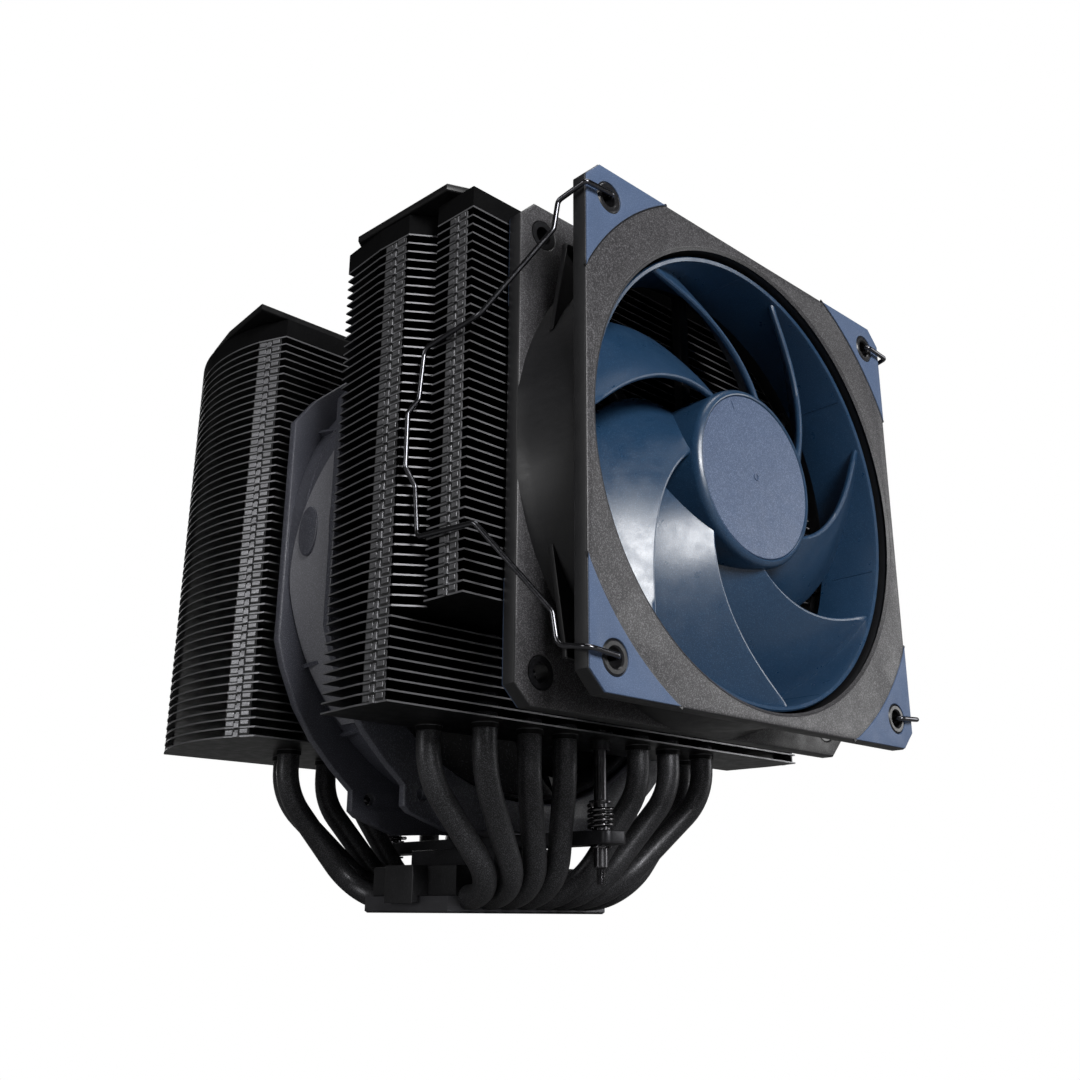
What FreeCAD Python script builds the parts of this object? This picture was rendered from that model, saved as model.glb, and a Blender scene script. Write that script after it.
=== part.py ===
import FreeCAD, Part
import math
import os
import re
import Sketcher
from FreeCAD import Vector

# Dual-tower processor cooler, in millimetres.
# Origin: centre of the copper base's contact face. +Z up, the front fan faces -Y, X across the fans.

SIZES = {
    # copper base and its clamp parts
    "plate_margin": 3.2, "plate_depth": 35, "plate_height": 4.1, "plate_chamfer": 0.5,
    "block_margin": 0.7, "block_top": 11.7, "lug_width": 12, "lug_reach": 2, "lug_bottom": 2.4,
    "bar_bottom": 16.5, "bar_thickness": 3.4, "bar_width": 8, "bar_overhang": 6, "foot_width": 26,
    "foot_depth": 35,
    # heat pipes
    "pipe_radius": 3, "pipe_floor": 0.9, "slot_wall": 0.2, "pipe_elbow_height": 31,
    "pipe_elbow_y": 30, "pipe_upper_bend": 18, "pipe_lower_bend": 20, "slot_exit": 0.5, "pipe_stub": 2.0,
    "inner_leg": 13.5, "second_leg": 25.6, "third_leg": 39.8, "outer_leg": 46.3,
    "leg_row": 44, "outer_leg_row": 31.1, "collar_wall": 0.35, "collar_height": 1.3,
    # fin stacks
    "fin_pitch": 2.3, "fin_thickness": 0.4, "fin_base": 42.4, "low_fins": 9, "tall_fins": 41,
    "front_edge": 71.5, "low_edge": 51.8, "front_back": 26.5, "rear_depth": 50.4,
    "front_half": 70.2, "side_half": 73.8, "waist_half": 74.6, "groove_half": 67.4,
    "tab_gap": 0.05, "driver_passage": 3.4, "notch_x": 37, "notch_width": 3.4, "notch_depth": 4,
    # top covers
    "cover_rise": 5.5, "cover_thickness": 2, "cover_half": 75.45, "skirt_wall": 2, "skirt_gap": 0.3,
    "cover_bevel": 0.6, "rear_cover_reach": 3.9, "magnet_radius": 4, "magnet_height": 2,
    "magnet_x": 60, "magnet_inset": 7.5, "post_radius": 6,
    # mounting screws
    "screw_y": 43, "thread_radius": 1.25, "thread_length": 4.3, "screw_tip": 6.7, "boss_radius": 1.8,
    "shank_radius": 1.6, "seat_height": 0.6, "seat_radius": 2.9, "head_sunk": 3.5,
    "head_height": 4, "head_radius": 2.8, "hex_width": 2.5, "hex_depth": 2.5, "spring_wire": 0.5,
    "spring_radius": 2.95, "spring_turns": 4.5, "spring_length": 6.8, "ring_outer": 2.6,
    "ring_thickness": 0.5, "ring_gap": 0.3, "screw_running": 0.05, "bush_outer": 2.6, "bush_height": 2.5,
    # front fan
    "fan_half": 60, "fan_depth": 25, "fan_gap": 1, "fan_height": 100.5, "fan_flange": 4,
    "fan_opening": 57.2, "fan_barrel": 59.4, "fan_chamfer": 4.5, "fan_hole_at": 52.5, "fan_hole": 2.2,
    "pad_leg": 27.5, "pad_recess": 1.2, "pad_proud": 0.3, "pad_gap": 0.15, "grommet_outer": 3.6,
    # middle fan
    "mid_half": 67.5, "mid_round": 72.3, "mid_gap": 9, "mid_lift": 0.5, "rear_gap": 6.3, "mid_flange": 2.5,
    "mid_opening": 64.6, "mid_barrel": 66.6, "ear_half": 42.5, "ear_top": 69.3, "ear_inner": 13,
    "ear_hole_x": 37, "ear_hole_z": 64.6, "ear_hole": 1.6,
    # parts that both fans share
    "strut_width": 3.2, "strut_depth": 3, "strut_count": 7, "motor_plate": 21.5, "bush_radius": 3.2,
    "shaft_radius": 1.5, "shaft_running": 0.03, "hub_radius": 22.3, "hub_front": 1.2, "hub_wall": 1.6,
    "rotor_magnet_wall": 1.8, "stator_radius": 15.2, "board_thickness": 1.2, "tip_gap": 1.0,
    "ring_wall": 1.3, "blade_thickness": 1.3, "blade_count": 7, "blade_phase": 23.6,
    "rotor_front": 2.4, "rotor_back": 19.6,
    # wire clips
    "wire_radius": 0.6, "clip_side": 71.9, "clip_groove_y": 56.0,
    # places that follow from the sizes above
    "slot_pitch": "=2 * pipe_radius + slot_wall", "pipe_axis_height": "=pipe_floor + pipe_radius",
    "plate_width": "=8 * slot_pitch + 2 * plate_margin",
    "block_width": "=8 * slot_pitch + 2 * block_margin",
    "stack_top": "=fin_base + (low_fins + tall_fins - 1) * fin_pitch + fin_thickness",
    "cover_bottom": "=stack_top + cover_rise", "head_top": "=stack_top - head_sunk",
    "seat_bottom": "=bar_bottom + bar_thickness + spring_length",
    "fan_front": "=-(front_edge + fan_gap + fan_depth)", "mid_front": "=mid_gap - front_back",
    "mid_height": "=bar_bottom + bar_thickness + mid_lift + mid_round",
    "rear_front": "=mid_front + fan_depth + rear_gap", "rear_back": "=rear_front + rear_depth",
    "rear_cover_back": "=rear_back + rear_cover_reach",
}

doc = FreeCAD.newDocument("TowerCooler")
sheet = doc.addObject("Spreadsheet::Sheet", "Sizes")
for row, (alias, value) in enumerate(SIZES.items(), start=1):
    sheet.set(f"A{row}", alias)
    sheet.set(f"B{row}", str(value))
    sheet.setAlias(f"B{row}", alias)
doc.recompute()

subparts = []


def size(alias):
    """A driving dimension, read from the sheet."""
    return float(sheet.get(alias))


def bound(formula):
    """A formula on aliases, written the way an expression refers to the sheet."""
    return re.sub(r"[a-z_]+", lambda word: "Sizes." + word[0] if word[0] in SIZES else word[0], formula)


def worked_out(formula):
    """The formula's value now."""
    return float(sheet.evalExpression(bound(formula)))


def subpart(piece, label):
    piece.Label = label
    subparts.append(piece)
    return piece


def place(piece, across="0", depth="0", height="0"):
    """Bind a piece's position to the sheet."""
    for axis, formula in (("x", across), ("y", depth), ("z", height)):
        piece.setExpression(f"Placement.Base.{axis}", bound(formula))


def solid_feature(shape, label):
    """A sub-part whose shape is worked out in code from the sheet."""
    piece = doc.addObject("Part::Feature", label)
    piece.Shape = shape
    return subpart(piece, label)


# ---------------------------------------------------------------- sketch helpers

def new_body(label):
    return subpart(doc.addObject("PartDesign::Body", label), label)


def new_sketch(body, role, offset="0"):
    """A sketch on one of the body's own origin planes, lifted along that plane's normal."""
    sketch = body.newObject("Sketcher::SketchObject", f"{body.Name}_sketch")
    base = next(item for item in body.Origin.OriginFeatures if item.Role == role)
    sketch.AttachmentSupport = [(base, "")]
    sketch.MapMode = "FlatFace"
    sketch.setExpression("AttachmentOffset.Base.z", bound(offset))
    return sketch


def fix_point(sketch, index, end, formulas):
    """Tie a vertex to the sketch origin by two bound distances."""
    for kind, formula in zip(("DistanceX", "DistanceY"), formulas):
        value = worked_out(formula)
        if abs(value) < 1e-9:
            axis = -2 if kind == "DistanceX" else -1
            sketch.addConstraint(Sketcher.Constraint("PointOnObject", index, end, axis))
            continue
        number = sketch.addConstraint(Sketcher.Constraint(kind, -1, 1, index, end, value))
        sketch.setExpression(f"Constraints[{number}]", bound(formula))


def add_circle(sketch, radius, centre=("0", "0")):
    middle = Vector(worked_out(centre[0]), worked_out(centre[1]), 0)
    index = sketch.addGeometry(Part.Circle(middle, Vector(0, 0, 1), worked_out(radius)), False)
    number = sketch.addConstraint(Sketcher.Constraint("Radius", index, worked_out(radius)))
    sketch.setExpression(f"Constraints[{number}]", bound(radius))
    fix_point(sketch, index, 3, centre)


def add_polygon(sketch, corners):
    """A closed outline of straight lines through corners given as pairs of formulas."""
    points = [Vector(worked_out(u), worked_out(v), 0) for u, v in corners]
    first = None
    for number, point in enumerate(points):
        index = sketch.addGeometry(Part.LineSegment(point, points[(number + 1) % len(points)]), False)
        first = index if first is None else first
        if number:
            sketch.addConstraint(Sketcher.Constraint("Coincident", index - 1, 2, index, 1))
        fix_point(sketch, index, 1, corners[number])
    sketch.addConstraint(Sketcher.Constraint("Coincident", first + len(points) - 1, 2, first, 1))


def add_box(sketch, half_width, low, high):
    add_polygon(sketch, [("-(%s)" % half_width, low), (half_width, low),
                         (half_width, high), ("-(%s)" % half_width, high)])


def mirrored(corners):
    """An outline's left half, front to back, closed with its mirror image in X."""
    return corners + [("-(%s)" % u, v) for u, v in reversed(corners)]


def pad(body, sketch, length, reverse=False):
    feature = body.newObject("PartDesign::Pad", f"{body.Name}_pad")
    feature.Profile = sketch
    feature.Reversed = reverse
    feature.setExpression("Length", bound(length))
    doc.recompute()
    return feature


def pocket(body, sketch, length=None, reverse=False):
    """A cut that has to take material away, of a bound depth or right through both ways."""
    before = body.Shape.Volume
    feature = body.newObject("PartDesign::Pocket", f"{body.Name}_pocket")
    feature.Profile = sketch
    if length is None:
        feature.Type = "ThroughAll"
        feature.Midplane = True
    else:
        feature.Reversed = reverse
        feature.setExpression("Length", bound(length))
    doc.recompute()
    assert body.Shape.Volume < before - 1e-3, f"{body.Label}: a cut took nothing away"
    return feature


def polar(body, feature, count):
    """Repeat a feature evenly about the body's Y axis."""
    pattern = body.newObject("PartDesign::PolarPattern", f"{body.Name}_pattern")
    axis = next(item for item in body.Origin.OriginFeatures if item.Role == "Y_Axis")
    pattern.Originals = [feature]
    pattern.Axis = (axis, [""])
    pattern.Angle = 360
    pattern.setExpression("Occurrences", bound(count))
    body.Tip = pattern
    doc.recompute()
    return pattern


def turned(label, profile):
    """A round piece: radius and height pairs turned about its own Z axis."""
    body = new_body(label)
    sketch = new_sketch(body, "XZ_Plane")
    add_polygon(sketch, profile)
    feature = body.newObject("PartDesign::Revolution", f"{label}_turning")
    feature.Profile = sketch
    feature.ReferenceAxis = (sketch, ["V_Axis"])
    feature.Angle = 360
    doc.recompute()
    return body


def ring_profile(inner, outer, low, high):
    return [(inner, low), (outer, low), (outer, high), (inner, high)]


# ---------------------------------------------------------------- base

SLOTS = ["-3.5 * slot_pitch", "-2.5 * slot_pitch", "-1.5 * slot_pitch", "-0.5 * slot_pitch",
         "0.5 * slot_pitch", "1.5 * slot_pitch", "2.5 * slot_pitch", "3.5 * slot_pitch"]


def pipe_slots(body):
    """Eight round grooves along Y for the pipes."""
    sketch = new_sketch(body, "XZ_Plane")
    for slot in SLOTS:
        add_circle(sketch, "pipe_radius", (slot, "pipe_axis_height"))
    pocket(body, sketch)


def cold_plate():
    body = new_body("cold_plate")
    outline = new_sketch(body, "XY_Plane")
    add_box(outline, "plate_width / 2", "-plate_depth / 2", "plate_depth / 2")
    block = pad(body, outline, "plate_height")
    rim = [f"Edge{n}" for n, edge in enumerate(block.Shape.Edges, start=1)
           if edge.BoundBox.ZMax < 0.01]
    chamfer = body.newObject("PartDesign::Chamfer", "plate_rim")
    chamfer.Base = (block, rim)
    chamfer.setExpression("Size", bound("plate_chamfer"))
    doc.recompute()
    pipe_slots(body)


def base_cover():
    """Block over the pipes, with a lug folded down each side of the plate."""
    body = new_body("base_cover")
    outline = new_sketch(body, "XY_Plane", "plate_height")
    add_box(outline, "block_width / 2", "-plate_depth / 2", "plate_depth / 2")
    pad(body, outline, "block_top - plate_height")
    bridge = new_sketch(body, "XZ_Plane", "lug_width / 2")
    reach = "plate_width / 2 + skirt_gap"
    add_polygon(bridge, mirrored([(f"-({reach} + lug_reach)", "block_top"),
                                  (f"-({reach} + lug_reach)", "lug_bottom"),
                                  (f"-({reach})", "lug_bottom"), (f"-({reach})", "plate_height"),
                                  ("-block_width / 4", "plate_height")]))
    pad(body, bridge, "lug_width", reverse=True)
    pipe_slots(body)


def crossbar():
    body = new_body("crossbar")
    outline = new_sketch(body, "XY_Plane", "bar_bottom")
    add_box(outline, "bar_width / 2", "-(screw_y + bar_overhang)", "screw_y + bar_overhang")
    pad(body, outline, "bar_thickness")
    foot = new_sketch(body, "XY_Plane", "block_top")
    add_box(foot, "foot_width / 2", "-foot_depth / 2", "foot_depth / 2")
    pad(body, foot, "bar_bottom - block_top")
    holes = new_sketch(body, "XY_Plane")
    for side in ("-screw_y", "screw_y"):
        add_circle(holes, "boss_radius + screw_running", ("0", side))
    pocket(body, holes)


# ---------------------------------------------------------------- heat pipes

def rounded_path(points, radii):
    """Straight runs joined by tangent arcs, one radius for each inner point."""
    edges = []
    start = points[0]
    for before, corner, after, radius in zip(points, points[1:], points[2:], radii):
        back = (before - corner).normalize()
        ahead = (after - corner).normalize()
        opening = back.getAngle(ahead)
        reach = radius / math.tan(opening / 2)
        middle = (back + ahead).normalize()
        summit = corner + middle * (radius / math.sin(opening / 2) - radius)
        entry = corner + back * reach
        leaving = corner + ahead * reach
        edges.append(Part.LineSegment(start, entry).toShape())
        edges.append(Part.Arc(entry, summit, leaving).toShape())
        start = leaving
    edges.append(Part.LineSegment(start, points[-1]).toShape())
    return Part.Wire(edges)


def tube_along(path, radius):
    """A round bar swept along a path of runs and arcs."""
    first = path.Edges[0]
    direction = first.tangentAt(first.FirstParameter)
    circle = Part.Wire(Part.Circle(path.Vertexes[0].Point, direction, radius).toShape())
    bar = path.makePipeShell([circle], True, True)
    wanted = math.pi * radius ** 2 * path.Length
    assert abs(bar.Volume - wanted) < 0.002 * wanted, "a swept bar has the wrong volume"
    return bar


def leg_places():
    """Where each pipe stands in the towers: across, and how far from the base's centre."""
    right = [(size("inner_leg"), size("leg_row")), (size("second_leg"), size("leg_row")),
             (size("third_leg"), size("leg_row")), (size("outer_leg"), size("outer_leg_row"))]
    return [(-across, row) for across, row in reversed(right)] + right


def heat_pipes():
    radius = size("pipe_radius")
    top = size("stack_top") + size("pipe_stub")
    elbow = size("pipe_elbow_height")
    floor = size("pipe_axis_height")
    turn_y = size("pipe_elbow_y")
    straight = turn_y - size("plate_depth") / 2 - size("slot_exit")
    for number, (across, row) in enumerate(leg_places(), start=1):
        slot = worked_out(SLOTS[number - 1])
        rise = Vector(across, row, elbow) - Vector(slot, turn_y, floor)
        half_turn = rise.getAngle(Vector(0, 1, 0)) / 2
        lower_bend = min(size("pipe_lower_bend"), straight / math.tan(half_turn))
        bends = [size("pipe_upper_bend"), lower_bend, lower_bend, size("pipe_upper_bend")]
        route = [Vector(across, -row, top), Vector(across, -row, elbow), Vector(slot, -turn_y, floor),
                 Vector(slot, turn_y, floor), Vector(across, row, elbow), Vector(across, row, top)]
        pipe = tube_along(rounded_path(route, bends), radius)
        for end in (route[0], route[-1]):
            pipe = pipe.fuse(Part.makeSphere(radius, end))
        solid_feature(pipe.removeSplitter(), f"heat_pipe_{number}")


# ---------------------------------------------------------------- fins

def closed_face(points, arc_at=None):
    """A flat face through points; the run that starts at arc_at is an arc over three points."""
    edges = []
    count = len(points)
    number = 0
    while number < count:
        following = points[(number + 1) % count]
        if arc_at is not None and number in arc_at:
            edges.append(Part.Arc(points[number], following, points[(number + 2) % count]).toShape())
            number += 2
            continue
        edges.append(Part.LineSegment(points[number], following).toShape())
        number += 1
    return Part.Face(Part.Wire(edges))


def both_sides(left):
    """Points of an outline's left half, front to back, and their mirror image."""
    return left + [Vector(-point.x, point.y, point.z) for point in reversed(left)]


def front_outline(tall):
    """Left half of a front tower fin. Tall fins reach the fan, and have the clip's groove."""
    back = [Vector(-size("side_half"), -size("low_edge"), 0),
            Vector(-size("waist_half"), -size("low_edge") + 10.5, 0),
            Vector(-size("side_half"), -size("front_back"), 0)]
    if not tall:
        return back
    return [Vector(-size("front_half"), -size("front_edge"), 0),
            Vector(-size("front_half") - 0.6, -size("low_edge") - 7.4, 0),
            Vector(-size("groove_half"), -size("low_edge") - 4.4, 0)] + back


def rear_outline():
    """Left half of a rear tower fin: a slanted corner, then a long curved side."""
    front = size("rear_front")
    back = size("rear_back")
    return [Vector(-size("side_half") + 6.6, front, 0), Vector(-size("side_half") + 2.8, front + 8.7, 0),
            Vector(-size("side_half") + 0.6, front + 26, 0), Vector(-size("side_half") + 7, back, 0)]


def lock_tab(start, end):
    """A folded tab that stands on a fin's edge between two points and reaches the next fin."""
    height = size("fin_pitch") - size("fin_thickness") - size("tab_gap")
    along = (end - start).normalize()
    inward = Vector(-along.y, along.x, 0)
    if inward.dot(start) > 0:
        inward = -inward
    inward = inward * size("fin_thickness")
    foot = Part.Face(Part.makePolygon([start, end, end + inward, start + inward, start]))
    foot.translate(Vector(0, 0, size("fin_thickness")))
    return foot.extrude(Vector(0, 0, height))


def part_of(start, end, near, far):
    """The stretch between two shares of a straight edge."""
    return start + (end - start) * near, start + (end - start) * far


def both_tabs(start, end):
    mirror = [Vector(-point.x, point.y, 0) for point in (start, end)]
    return [lock_tab(start, end), lock_tab(*mirror)]


def fin(outline_face, tabs, legs, screw_y):
    """One fin: a thin sheet with folded tabs, its pipe holes and the screwdriver's passage."""
    thickness = size("fin_thickness")
    height = size("fin_pitch")
    sheet_metal = outline_face.extrude(Vector(0, 0, thickness))
    sheet_metal = sheet_metal.fuse(tabs).removeSplitter() if tabs else sheet_metal
    drills = [Part.makeCylinder(size("pipe_radius"), height, Vector(x, y, 0)) for x, y in legs]
    drills.append(Part.makeCylinder(size("driver_passage"), height, Vector(0, screw_y, 0)))
    return sheet_metal.cut(drills)


def collars(legs):
    """Rings drawn down around the pipes under the lowest fin."""
    radius = size("pipe_radius")
    drop = size("collar_height")
    rings = []
    for x, y in legs:
        foot = Vector(x, y, -drop)
        ring = Part.makeCylinder(radius + size("collar_wall"), drop, foot)
        rings.append(ring.cut(Part.makeCylinder(radius, drop, foot)))
    return rings


def stack(fins_by_height, label):
    """Fins one pitch apart; each level names which pattern it uses."""
    solids = []
    for level, pattern in enumerate(fins_by_height):
        copy = pattern.copy()
        copy.translate(Vector(0, 0, size("fin_base") + level * size("fin_pitch")))
        solids.append(copy)
    return solid_feature(Part.makeCompound(solids), label)


def front_fins():
    legs = [(x, -row) for x, row in leg_places()]
    tall_left = front_outline(True)
    low_left = front_outline(False)
    side_tabs = both_tabs(*part_of(low_left[0], low_left[1], 0.11, 0.78))
    corner_tabs = both_tabs(*part_of(tall_left[0], tall_left[1], 0.17, 0.64))
    tall = fin(closed_face(both_sides(tall_left)), side_tabs + corner_tabs, legs, -size("screw_y"))
    low = fin(closed_face(both_sides(low_left)), side_tabs, legs, -size("screw_y"))
    lowest = low.fuse(collars(legs)).removeSplitter()
    highest = fin(closed_face(both_sides(tall_left)), [], legs, -size("screw_y"))
    levels = [lowest] + [low] * (int(size("low_fins")) - 1)
    levels += [tall] * (int(size("tall_fins")) - 1) + [highest]
    stack(levels, "front_fins")


def rear_fins():
    legs = [(x, row) for x, row in leg_places()]
    left = rear_outline()
    face = closed_face(both_sides(left), arc_at=(1, 4))
    end_tab = [left[3] + Vector(-0.9, -6.5, 0), left[3] + Vector(0, -0.5, 0)]
    tabs = both_tabs(*part_of(left[0], left[1], 0.2, 0.98)) + both_tabs(*end_tab)
    notches = []
    for side in (-1, 1):
        corner = Vector(side * size("notch_x") - size("notch_width") / 2, size("rear_front") - 1, -1)
        notches.append(Part.makeBox(size("notch_width"), size("notch_depth") + 1, 9, corner))
    plain = fin(face, tabs, legs, size("screw_y")).cut(notches)
    highest = fin(face, [], legs, size("screw_y")).cut(notches)
    lowest = plain.fuse(collars(legs)).removeSplitter()
    levels = [lowest] + [plain] * (int(size("low_fins") + size("tall_fins")) - 2) + [highest]
    stack(levels, "rear_fins")


# ---------------------------------------------------------------- covers

def magnet_rows():
    """Across and depth of the four magnets under the front cover, then under the rear one."""
    across = size("magnet_x")
    inset = size("magnet_inset")
    depths = {"front": (-size("front_edge") + inset, -size("front_back") - inset),
              "rear": (size("rear_front") + inset, size("rear_back") - inset)}
    return {name: [(side * across, y) for side in (-1, 1) for y in rows]
            for name, rows in depths.items()}


def skirt(name, outline_points, arc_at, leg_side):
    """The frame between the top fin and a cover: a thin wall and four posts under the magnets."""
    height = size("cover_bottom") - size("skirt_gap") - size("stack_top")
    outer = closed_face(outline_points, arc_at)
    inner = outer.makeOffset2D(-size("skirt_wall"))
    wall = outer.cut(inner).extrude(Vector(0, 0, height))
    post_height = height - size("magnet_height")
    posts = [Part.makeCylinder(size("post_radius"), post_height, Vector(x, y, 0))
             for x, y in magnet_rows()[name]]
    room = size("pipe_radius") + size("skirt_gap")
    drills = [Part.makeCylinder(room, height, Vector(x, leg_side * row, 0)) for x, row in leg_places()]
    frame = wall.fuse(posts).removeSplitter().cut(drills)
    place(solid_feature(frame, f"{name}_cover_frame"), height="stack_top")


def covers():
    skirt("front", both_sides(front_outline(True)), None, -1)
    skirt("rear", both_sides(rear_outline()), (1, 4), 1)
    front_left = [("-20", "-(front_edge - 8)"), ("-22", "-(front_edge - 3)"),
                  ("-(cover_half - 9)", "-(front_edge - 3)"), ("-(cover_half - 2)", "-(front_edge - 6)"),
                  ("-cover_half", "-(front_back + 6)"), ("-(cover_half - 9)", "-(front_back - 1.5)")]
    rear_left = [("-cover_half", "rear_front + 0.7"), ("-(cover_half - 1.6)", "rear_front + 22"),
                 ("-(cover_half - 4.5)", "rear_cover_back - 18"),
                 ("-(cover_half - 12)", "rear_cover_back")]
    for label, left in (("front_cover", front_left), ("rear_cover", rear_left)):
        body = new_body(label)
        outline = new_sketch(body, "XY_Plane", "cover_bottom")
        add_polygon(outline, mirrored(left))
        plate = pad(body, outline, "cover_thickness")
        top = worked_out("cover_bottom + cover_thickness")
        rim = [f"Edge{n}" for n, edge in enumerate(plate.Shape.Edges, start=1)
               if edge.BoundBox.ZMin > top - 0.01]
        bevel = body.newObject("PartDesign::Chamfer", f"{label}_bevel")
        bevel.Base = (plate, rim)
        bevel.setExpression("Size", bound("cover_bevel"))
        doc.recompute()


def cover_magnets():
    """Four disc magnets glued under each cover, inside its skirt."""
    height = size("magnet_height")
    for name, spots in magnet_rows().items():
        discs = [Part.makeCylinder(size("magnet_radius"), height, Vector(x, y, -height))
                 for x, y in spots]
        magnets = solid_feature(Part.makeCompound(discs), f"{name}_cover_magnets")
        place(magnets, height="cover_bottom")


# ---------------------------------------------------------------- mounting screws

def mounting_screws():
    """At each end of the crossbar: a long screw, its retaining ring, and its spring."""
    groove_top = "bar_bottom - ring_gap + screw_running"
    groove_low = "bar_bottom - ring_gap - ring_thickness - screw_running"
    neck = "boss_radius - 0.5"
    boss_low = "screw_tip + thread_length"
    seat_top = "seat_bottom + seat_height"
    head_low = "head_top - head_height"
    for name, depth in (("front", "-screw_y"), ("rear", "screw_y")):
        outline = [("0", "screw_tip"), ("thread_radius - 0.3", "screw_tip"),
                   ("thread_radius", "screw_tip + 0.3"), ("thread_radius", boss_low),
                   ("boss_radius", boss_low), ("boss_radius", groove_low), (neck, groove_low),
                   (neck, groove_top), ("boss_radius", groove_top), ("boss_radius", "seat_bottom"),
                   ("seat_radius", "seat_bottom"), ("seat_radius", seat_top),
                   ("shank_radius", seat_top), ("shank_radius", head_low),
                   ("head_radius", head_low), ("head_radius", "head_top"), ("0", "head_top")]
        screw = turned(f"{name}_screw", outline)
        hexagon = new_sketch(screw, "XY_Plane", "head_top")
        corners = [(f"hex_width / 2 / cos(30) * cos({60 * turn})",
                    f"hex_width / 2 / cos(30) * sin({60 * turn})") for turn in range(6)]
        add_polygon(hexagon, corners)
        pocket(screw, hexagon, "hex_depth")
        place(screw, depth=depth)

        ring_low = "bar_bottom - ring_gap - ring_thickness"
        ring = turned(f"{name}_retaining_ring",
                      ring_profile(f"{neck} + screw_running", "ring_outer", ring_low,
                                   "bar_bottom - ring_gap"))
        place(ring, depth=depth)
        spring(name, depth)
    bushes = []
    for y in (-size("screw_y"), size("screw_y")):
        foot = Vector(0, y, size("fin_base") - size("bush_height"))
        sleeve = Part.makeCylinder(size("bush_outer"), size("bush_height"), foot)
        seat = Part.makeCylinder(size("driver_passage"), 2, Vector(0, y, size("fin_base")))
        bore = Part.makeCylinder(size("shank_radius") + 0.4, size("bush_height") + 2, foot)
        bushes.append(sleeve.fuse(seat).cut(bore))
    solid_feature(Part.makeCompound(bushes), "screw_bushings")


def spring(name, depth):
    """A short compression spring between the bar and the screw's shoulder."""
    wire = size("spring_wire")
    room = size("seat_bottom") - size("bar_bottom") - size("bar_thickness")
    rise = room - 2 * wire - 2 * size("screw_running")
    radius = size("spring_radius")
    arcs = int(6 * size("spring_turns"))

    def on_coil(arc):
        angle = math.radians(60 * arc)
        return Vector(radius * math.cos(angle), radius * math.sin(angle), rise * arc / arcs)

    runs = [Part.Arc(on_coil(arc), on_coil(arc + 0.5), on_coil(arc + 1)).toShape()
            for arc in range(arcs)]
    coil = solid_feature(tube_along(Part.Wire(runs), wire), f"{name}_spring")
    place(coil, depth=depth, height="bar_bottom + bar_thickness + spring_wire + screw_running")


# ---------------------------------------------------------------- fans

def motor_mount(body, opening, back, barrel):
    """Struts from the barrel to the round plate that holds the motor, at the fan's back."""
    strut = new_sketch(body, "XZ_Plane", f"-({back})")
    add_box(strut, "strut_width / 2", "0", f"({opening} + {barrel}) / 2")
    arm = pad(body, strut, "strut_depth")
    polar(body, arm, "strut_count")
    plate = new_sketch(body, "XZ_Plane", f"-({back})")
    add_circle(plate, "motor_plate")
    pad(body, plate, "strut_depth")
    seat = new_sketch(body, "XZ_Plane")
    add_circle(seat, "bush_radius")
    pocket(body, seat)


def flanged_barrel(body, outline, barrel_radius, flange):
    """Front and back flanges of one outline, joined by a round barrel."""
    for face_at in ("0", f"-(fan_depth - {flange})"):
        sketch = new_sketch(body, "XZ_Plane", face_at)
        add_polygon(sketch, outline)
        pad(body, sketch, flange, reverse=True)
        if face_at == "0":
            barrel = new_sketch(body, "XZ_Plane")
            add_circle(barrel, barrel_radius)
            pad(body, barrel, "fan_depth", reverse=True)


def open_up(body, opening, hole, across, height):
    """The round opening and the four fixing holes of a fan frame."""
    bore = new_sketch(body, "XZ_Plane")
    add_circle(bore, opening)
    pocket(body, bore)
    holes = new_sketch(body, "XZ_Plane")
    for x in (f"-{across}", across):
        for z in (f"-{height}", height):
            add_circle(holes, hole, (x, z))
    pocket(body, holes)


def front_fan_frame():
    """Square frame with open sides: two flanges joined by a round barrel."""
    body = new_body("front_fan_frame")
    corner = "fan_half - fan_chamfer"
    outline = mirrored([(f"-({corner})", "-fan_half"), ("-fan_half", f"-({corner})"),
                        ("-fan_half", corner), (f"-({corner})", "fan_half")])
    flanged_barrel(body, outline, "fan_barrel", "fan_flange")
    open_up(body, "fan_opening", "grommet_outer", "fan_hole_at", "fan_hole_at")
    motor_mount(body, "fan_opening", "fan_depth", "fan_barrel")
    place(body, depth="fan_front", height="fan_height")


def middle_fan_frame():
    """Frame with flat sides, rounded shoulders and a stepped foot above and below."""
    body = new_body("middle_fan_frame")
    lower = [("-ear_inner", "-(mid_round)"), ("-(ear_half - 14.5)", "-(ear_top + 4)"),
             ("-(ear_half - 2)", "-ear_top"), ("-ear_half", "-(ear_top - 1.5)"),
             ("-ear_half", "-(ear_top - 6.5)"), ("-(mid_half - 18.9)", "-57.6"),
             ("-(mid_half - 12.3)", "-51"), ("-(mid_half - 6.7)", "-43.2"),
             ("-(mid_half - 2.1)", "-33.4"), ("-mid_half", "-26.5")]
    upper = [("-mid_half", "33.5"), ("-(mid_half - 5.9)", "41.6"), ("-(mid_half - 16.8)", "51.6"),
             ("-ear_half", "ear_top - 11.5"), ("-ear_half", "ear_top - 1.5"),
             ("-(ear_half - 2)", "ear_top"), ("-(ear_half - 14.5)", "mid_round"),
             ("-ear_inner", "mid_round")]
    flanged_barrel(body, mirrored(lower + upper), "mid_barrel", "mid_flange")
    open_up(body, "mid_opening", "ear_hole", "ear_hole_x", "ear_hole_z")
    motor_mount(body, "mid_opening", "fan_depth", "mid_barrel")
    place(body, depth="mid_front", height="mid_height")


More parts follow.
